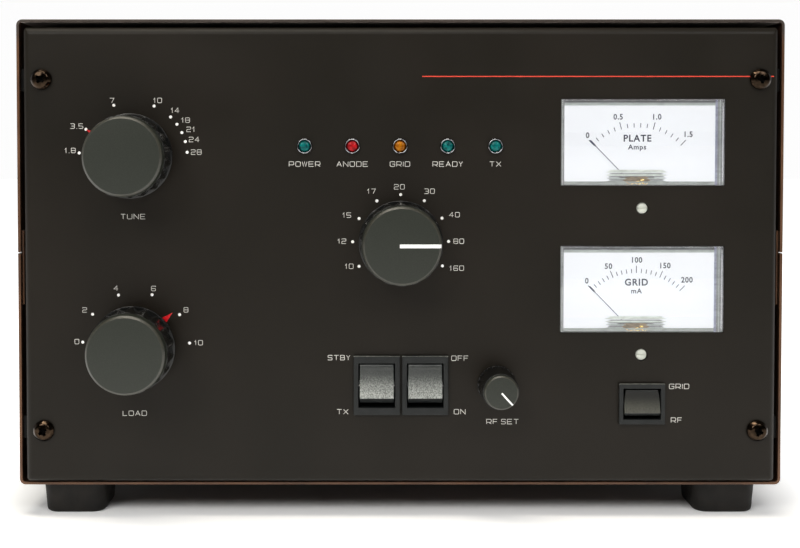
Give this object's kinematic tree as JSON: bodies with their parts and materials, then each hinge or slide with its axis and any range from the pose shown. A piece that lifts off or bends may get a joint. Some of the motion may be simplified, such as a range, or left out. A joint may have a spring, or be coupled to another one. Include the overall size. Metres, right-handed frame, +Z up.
{
  "type": "hf linear amplifier",
  "caption": "Bench-top HF tube amplifier in a dark wrap-around case with slow-motion tuning knobs, band switch, rocker switches, lamps, two panel meters and rear connectors.",
  "frame": {"origin": "on the plane the feet stand on, midway between the sides and between the foremost knob cap and the end of the ground stud", "axes": "+Z up, the front panel and its knobs face -Y, +X is to the right seen from the front"},
  "size_m": [0.4136, 0.445, 0.267],
  "materials": {
    "case_paint": "satin enamel, near-black brown",
    "panel_paint": "fine-textured dark enamel",
    "rear_paint": "satin enamel",
    "deck_aluminium": "plain sheet",
    "rail_aluminium": "black anodised bar",
    "bronze_screw": "dark bronze plating",
    "black_screw": "black zinc",
    "foot_rubber": "matte",
    "knob_black": "polished phenolic",
    "cap_grey": "matte grey with a faint green cast",
    "pointer_red": "gloss red",
    "shaft_steel": "ground bar",
    "drive_brass": "turned",
    "capacitor_aluminium": "bright sheet",
    "switch_ceramic": "glazed steatite",
    "chrome_bezel": "polished",
    "lens_green": "translucent",
    "lens_red": "translucent",
    "lens_amber": "translucent",
    "meter_black": "moulded",
    "window_clear": "clear acrylic",
    "dial_white": "matte white, lit from behind the bezel",
    "needle_black": "black lacquer",
    "adjuster_grey": "moulded",
    "switch_black": "moulded",
    "rocker_grey": "fine spark texture",
    "core_iron": "varnished laminations and winding",
    "board_green": "circuit board with sleeved cans",
    "blower_steel": "black enamel",
    "wheel_steel": "galvanised",
    "tube_ceramic": "ceramic body with plated cooler",
    "coil_copper": "silver-plated copper strip",
    "inlet_black": "moulded",
    "nickel": "nickel plate"
  },
  "bodies": {
    "chassis": {"bottom_cover": "case_paint", "top_cover": "case_paint", "front_panel": "panel_paint", "rear_panel": "rear_paint", "chassis_deck": "deck_aluminium", "air_box": "deck_aluminium", "ball_drives": "drive_brass", "corner_rails": "rail_aluminium", "panel_screws": "bronze_screw", "case_screws": "black_screw", "feet": "foot_rubber", "band_switch": "switch_ceramic", "rf_set_pot": "shaft_steel", "lamp_bezels": "chrome_bezel", "green_lamps": "lens_green", "anode_lamp": "lens_red", "grid_lamp": "lens_amber", "standby_switch": "switch_black", "power_switch": "switch_black", "selector_switch": "switch_black", "transformer": "core_iron", "power_board": "board_green", "blower_housing": "blower_steel", "tube_sockets": "switch_ceramic", "power_tubes": "tube_ceramic", "tank_coil": "coil_copper", "mains_inlet": "inlet_black", "rf_sockets": "nickel", "rear_jacks": "nickel", "ground_stud": "nickel", "tune_stator": "capacitor_aluminium", "load_stator": "capacitor_aluminium", "plate_meter_case": "meter_black", "plate_meter_window": "window_clear", "plate_meter_dial": "dial_white", "grid_meter_case": "meter_black", "grid_meter_window": "window_clear", "grid_meter_dial": "dial_white"},
    "tune_knob_group": {"tune_knob": "knob_black", "tune_knob_cap": "cap_grey", "tune_spindle": "shaft_steel"},
    "tune_capacitor": {"tune_pointer": "pointer_red", "tune_rotor": "capacitor_aluminium"},
    "load_knob_group": {"load_knob": "knob_black", "load_knob_cap": "cap_grey", "load_spindle": "shaft_steel"},
    "load_capacitor": {"load_pointer": "pointer_red", "load_rotor": "capacitor_aluminium"},
    "band_control": {"band_knob": "knob_black", "band_knob_cap": "cap_grey", "band_switch_rotor": "shaft_steel"},
    "rf_set_control": {"rf_set_knob": "knob_black"},
    "standby_control": {"standby_rocker": "rocker_grey"},
    "power_control": {"power_rocker": "rocker_grey"},
    "selector_control": {"selector_rocker": "rocker_grey"},
    "plate_needle": {"plate_meter_needle": "needle_black"},
    "grid_needle": {"grid_meter_needle": "needle_black"},
    "plate_zero": {"plate_meter_adjuster": "adjuster_grey"},
    "grid_zero": {"grid_meter_adjuster": "adjuster_grey"},
    "impeller": {"blower_impeller": "wheel_steel"}
  },
  "joints": [
    {"name": "tune_knob_turn", "type": "hinge", "parent": "chassis", "child": "tune_knob_group", "pos_m": [-0.1419, -0.1915, 0.1942], "axis": [0, 1, 0], "range_deg": [-183, 897]},
    {"name": "tune_capacitor_turn", "type": "hinge", "parent": "chassis", "child": "tune_capacitor", "pos_m": [-0.1419, -0.1915, 0.1942], "axis": [0, 1, 0], "range_deg": [-31, 150]},
    {"name": "load_knob_turn", "type": "hinge", "parent": "chassis", "child": "load_knob_group", "pos_m": [-0.1409, -0.1915, 0.0932], "axis": [0, 1, 0], "range_deg": [-828, 252]},
    {"name": "load_capacitor_turn", "type": "hinge", "parent": "chassis", "child": "load_capacitor", "pos_m": [-0.1409, -0.1915, 0.0932], "axis": [0, 1, 0], "range_deg": [-138.5, 42.5]},
    {"name": "band_turn", "type": "hinge", "parent": "chassis", "child": "band_control", "pos_m": [0, -0.1915, 0.1482], "axis": [0, 1, 0], "range_deg": [-210, 30]},
    {"name": "rf_set_turn", "type": "hinge", "parent": "chassis", "child": "rf_set_control", "pos_m": [0.0512, -0.1915, 0.0725], "axis": [0, 1, 0], "range_deg": [-287.5, 12.5]},
    {"name": "standby_rock", "type": "hinge", "parent": "chassis", "child": "standby_control", "pos_m": [-0.0127, -0.1868, 0.0721], "axis": [1, 0, 0], "range_deg": [0, 20]},
    {"name": "power_rock", "type": "hinge", "parent": "chassis", "child": "power_control", "pos_m": [0.0131, -0.1868, 0.0721], "axis": [1, 0, 0], "range_deg": [0, 20]},
    {"name": "selector_rock", "type": "hinge", "parent": "chassis", "child": "selector_control", "pos_m": [0.1285, -0.1881, 0.0622], "axis": [1, 0, 0], "range_deg": [0, 16]},
    {"name": "plate_needle_swing", "type": "hinge", "parent": "chassis", "child": "plate_needle", "pos_m": [0.127, -0.1865, 0.1766], "axis": [0, 1, 0], "range_deg": [0, 89], "stiffness_Nm_per_rad": 0.0001, "springref_deg": -11.46},
    {"name": "grid_needle_swing", "type": "hinge", "parent": "chassis", "child": "grid_needle", "pos_m": [0.127, -0.1865, 0.0984], "axis": [0, 1, 0], "range_deg": [0, 89], "stiffness_Nm_per_rad": 0.0001, "springref_deg": -11.46},
    {"name": "plate_zero_turn", "type": "hinge", "parent": "chassis", "child": "plate_zero", "pos_m": [0.1285, -0.1895, 0.1664], "axis": [0, 1, 0], "range_deg": [-30, 30]},
    {"name": "grid_zero_turn", "type": "hinge", "parent": "chassis", "child": "grid_zero", "pos_m": [0.1285, -0.1895, 0.0882], "axis": [0, 1, 0], "range_deg": [-30, 30]},
    {"name": "blower_spin", "type": "hinge", "parent": "chassis", "child": "impeller", "pos_m": [-0.112, 0.18, 0.083], "axis": [0, 1, 0], "continuous": true}
  ],
  "couplings": [
    {"joint": "tune_capacitor_turn", "follows": "tune_knob_turn", "ratio": 0.16667},
    {"joint": "load_capacitor_turn", "follows": "load_knob_turn", "ratio": 0.16667}
  ]
}
